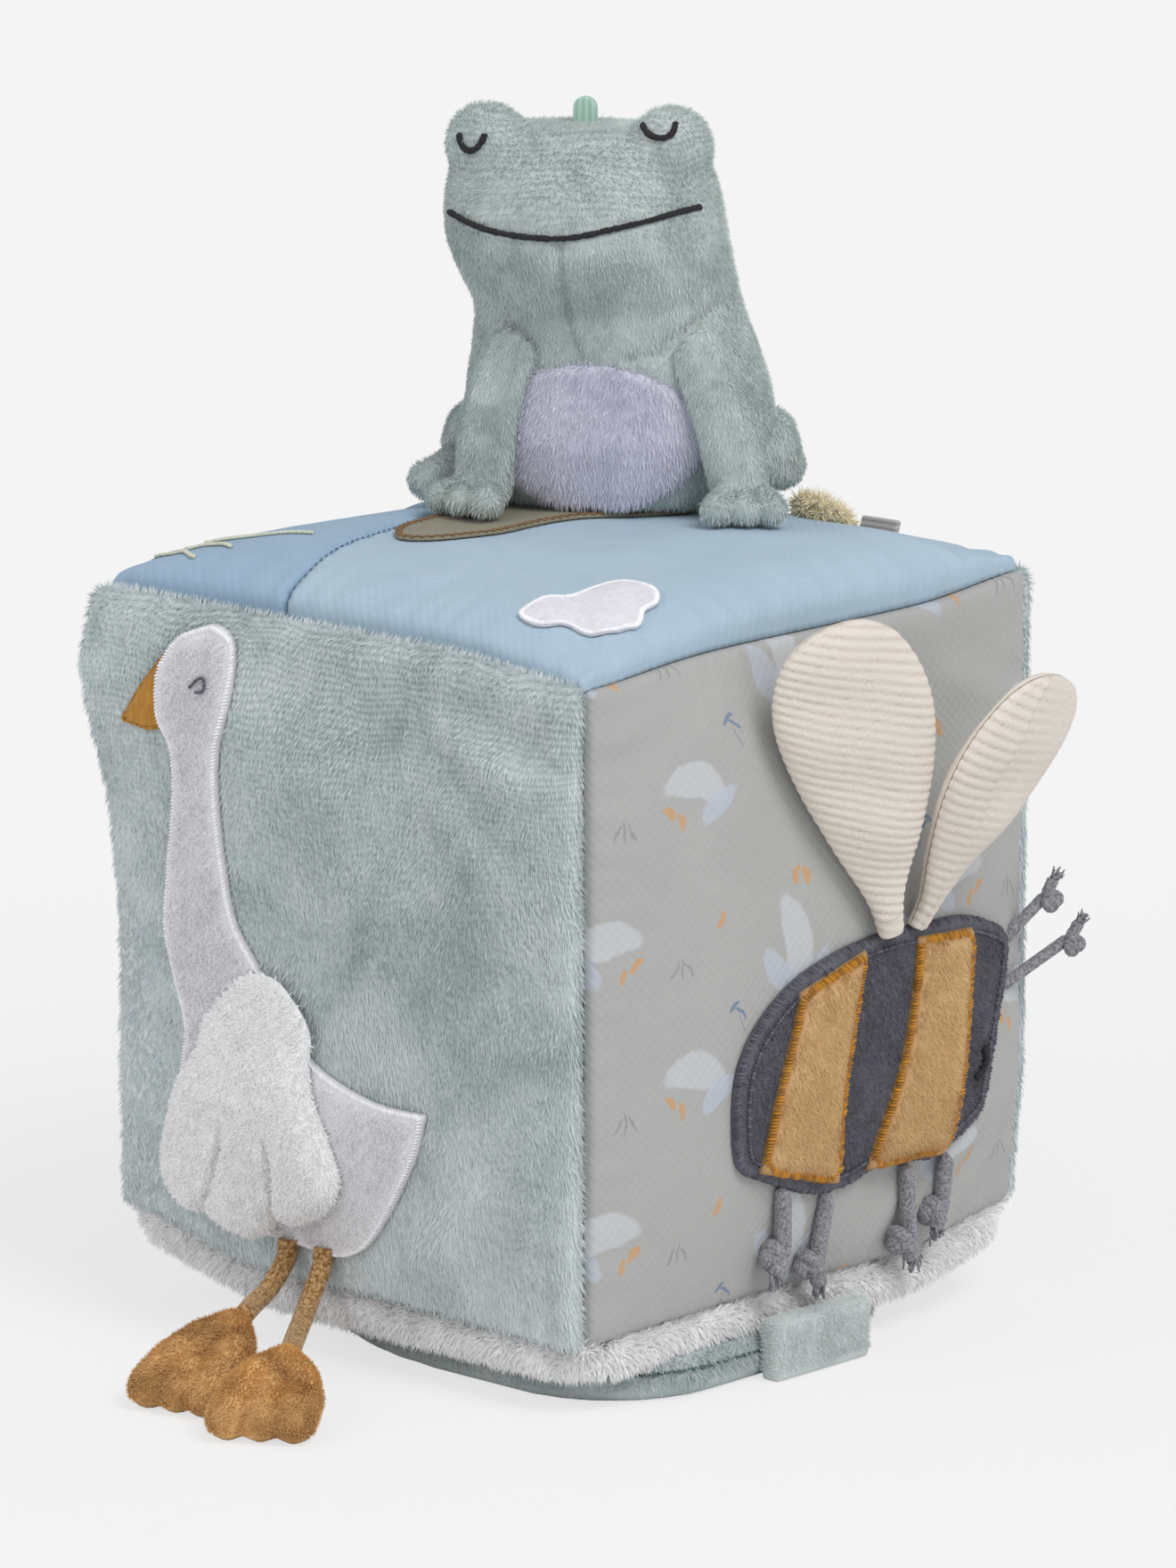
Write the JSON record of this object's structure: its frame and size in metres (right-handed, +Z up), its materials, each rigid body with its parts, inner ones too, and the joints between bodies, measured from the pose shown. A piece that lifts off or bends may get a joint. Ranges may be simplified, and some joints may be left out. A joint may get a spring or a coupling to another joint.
{
  "type": "soft activity cube",
  "caption": "Stuffed fabric activity cube for a baby, with a goose and a bee with loose wings and legs on its sides, and a stuffed frog that sits on its top.",
  "frame": {"origin": "middle of the underside of the padded base, where the cube stands", "axes": "+Z up, -Y out of the goose face, +X out of the bee face"},
  "size_m": [0.1922, 0.2197, 0.2706],
  "materials": {
    "foam": "open-cell foam, matt",
    "sage_plush": "short dense plush, matt",
    "printed_cotton": "printed woven cotton, matt",
    "blue_cotton": "woven cotton, matt",
    "water_cotton": "woven cotton, matt",
    "white_fur": "long pile, matt",
    "white_plush": "short plush, matt",
    "white_terry": "looped terry, matt",
    "white_thread": "satin stitch, slight sheen",
    "ochre_thread": "satin stitch, slight sheen",
    "ochre_cord": "braided cotton cord, matt",
    "foot_plush": "short plush, matt",
    "grey_velour": "velour, matt",
    "tan_velour": "velour, matt",
    "grey_cord": "knitted cord, matt",
    "cream_corduroy": "ribbed corduroy, matt",
    "cream_velour": "velour, matt",
    "olive_cloth": "woven cloth, matt",
    "beige_terry": "looped terry, matt",
    "cream_thread": "embroidered thread, slight sheen",
    "grey_ribbon": "woven ribbon, slight sheen",
    "frog_plush": "short plush, matt",
    "belly_plush": "short plush, matt",
    "mint_ribbon": "woven ribbon, slight sheen"
  },
  "bodies": {
    "cube": {"foam_core": "foam", "goose_panel": "sage_plush", "back_panel": "sage_plush", "base_pad": "sage_plush", "strap_end": "sage_plush", "bee_panel": "printed_cotton", "side_panel": "printed_cotton", "top_panel": "blue_cotton", "top_water_panel": "water_cotton", "bottom_panel": "white_fur", "goose_body": "white_plush", "cloud_patch": "white_thread", "goose_beak": "ochre_thread", "bee_body": "grey_velour", "bee_stripe_rear": "tan_velour", "bee_stripe_front": "tan_velour", "lily_pad": "olive_cloth", "terry_tuft": "beige_terry", "reed_1": "cream_thread", "reed_2": "cream_thread", "reed_3": "cream_thread", "ribbon_tab": "grey_ribbon", "frog_body": "frog_plush", "frog_head": "frog_plush", "frog_belly": "belly_plush", "frog_loop": "mint_ribbon"},
    "goose_wing": {"goose_wing": "white_terry"},
    "goose_leg_left": {"goose_leg_left": "ochre_cord", "goose_foot_left": "foot_plush"},
    "goose_leg_right": {"goose_leg_right": "ochre_cord", "goose_foot_right": "foot_plush"},
    "bee_wing_left": {"bee_wing_left_front": "cream_corduroy", "bee_wing_left_back": "cream_velour"},
    "bee_wing_right": {"bee_wing_right_front": "cream_corduroy", "bee_wing_right_back": "cream_velour"},
    "bee_leg_1": {"bee_leg_1": "grey_cord"},
    "bee_leg_2": {"bee_leg_2": "grey_cord"},
    "bee_leg_3": {"bee_leg_3": "grey_cord"},
    "bee_leg_4": {"bee_leg_4": "grey_cord"},
    "bee_antenna_upper": {"bee_antenna_upper": "grey_cord"},
    "bee_antenna_lower": {"bee_antenna_lower": "grey_cord"},
    "frog_arm_left": {"frog_arm_left": "frog_plush"},
    "frog_arm_right": {"frog_arm_right": "frog_plush"},
    "frog_leg_left": {"frog_leg_left": "frog_plush"},
    "frog_leg_right": {"frog_leg_right": "frog_plush"}
  },
  "joints": [
    {"name": "goose_wing_flap", "type": "hinge", "parent": "cube", "child": "goose_wing", "pos_m": [-0.02, -0.0857, 0.0805], "axis": [-1, 0, 0], "range_deg": [0, 110]},
    {"name": "goose_leg_left_swing", "type": "hinge", "parent": "cube", "child": "goose_leg_left", "pos_m": [-0.011, -0.079, 0.0256], "axis": [-1, 0, 0], "range_deg": [-42, 30]},
    {"name": "goose_leg_right_swing", "type": "hinge", "parent": "cube", "child": "goose_leg_right", "pos_m": [0, -0.07895, 0.0256], "axis": [-1, 0, 0], "range_deg": [-42, 30]},
    {"name": "bee_wing_left_flap", "type": "hinge", "parent": "cube", "child": "bee_wing_left", "pos_m": [0.0832, 0.0151, 0.0952], "axis": [0.4939, 0.8269, 0.269], "range_deg": [0, 50], "stiffness_Nm_per_rad": 0.01},
    {"name": "bee_wing_right_flap", "type": "hinge", "parent": "cube", "child": "bee_wing_right", "pos_m": [0.0817, 0.0256, 0.0952], "axis": [-0.101, 0.9903, -0.095], "range_deg": [0, 50], "stiffness_Nm_per_rad": 0.01},
    {"name": "bee_leg_1_swing", "type": "hinge", "parent": "cube", "child": "bee_leg_1", "pos_m": [0.08039, -0.017, 0.04024], "axis": [0, -1, 0], "range_deg": [0, 80]},
    {"name": "bee_leg_2_swing", "type": "hinge", "parent": "cube", "child": "bee_leg_2", "pos_m": [0.07981, -0.00216, 0.03649], "axis": [0, -1, 0], "range_deg": [0, 80]},
    {"name": "bee_leg_3_swing", "type": "hinge", "parent": "cube", "child": "bee_leg_3", "pos_m": [0.07999, 0.02477, 0.03776], "axis": [0, -1, 0], "range_deg": [0, 80]},
    {"name": "bee_leg_4_swing", "type": "hinge", "parent": "cube", "child": "bee_leg_4", "pos_m": [0.07967, 0.03838, 0.03793], "axis": [0, -1, 0], "range_deg": [0, 80]},
    {"name": "bee_antenna_upper_bend", "type": "hinge", "parent": "cube", "child": "bee_antenna_upper", "pos_m": [0.07589, 0.06302, 0.08508], "axis": [0, 0, -1], "range_deg": [-10, 25], "stiffness_Nm_per_rad": 0.0002},
    {"name": "bee_antenna_lower_bend", "type": "hinge", "parent": "cube", "child": "bee_antenna_lower", "pos_m": [0.0764, 0.06174, 0.07444], "axis": [0, 0, -1], "range_deg": [-10, 25], "stiffness_Nm_per_rad": 0.0002},
    {"name": "frog_arm_left_swing", "type": "hinge", "parent": "cube", "child": "frog_arm_left", "pos_m": [-0.02158, 0.00591, 0.21517], "axis": [-0.8571, -0.5151, 0], "range_deg": [0, 40]},
    {"name": "frog_arm_right_swing", "type": "hinge", "parent": "cube", "child": "frog_arm_right", "pos_m": [0.0129, 0.02906, 0.21517], "axis": [-0.8571, -0.5151, 0], "range_deg": [0, 40]},
    {"name": "frog_leg_left_swing", "type": "hinge", "parent": "cube", "child": "frog_leg_left", "pos_m": [-0.04251, 0.01942, 0.19027], "axis": [0, 0, -1], "range_deg": [0, 24]},
    {"name": "frog_leg_right_swing", "type": "hinge", "parent": "cube", "child": "frog_leg_right", "pos_m": [0.00659, 0.05378, 0.19027], "axis": [0, 0, 1], "range_deg": [0, 24]}
  ]
}
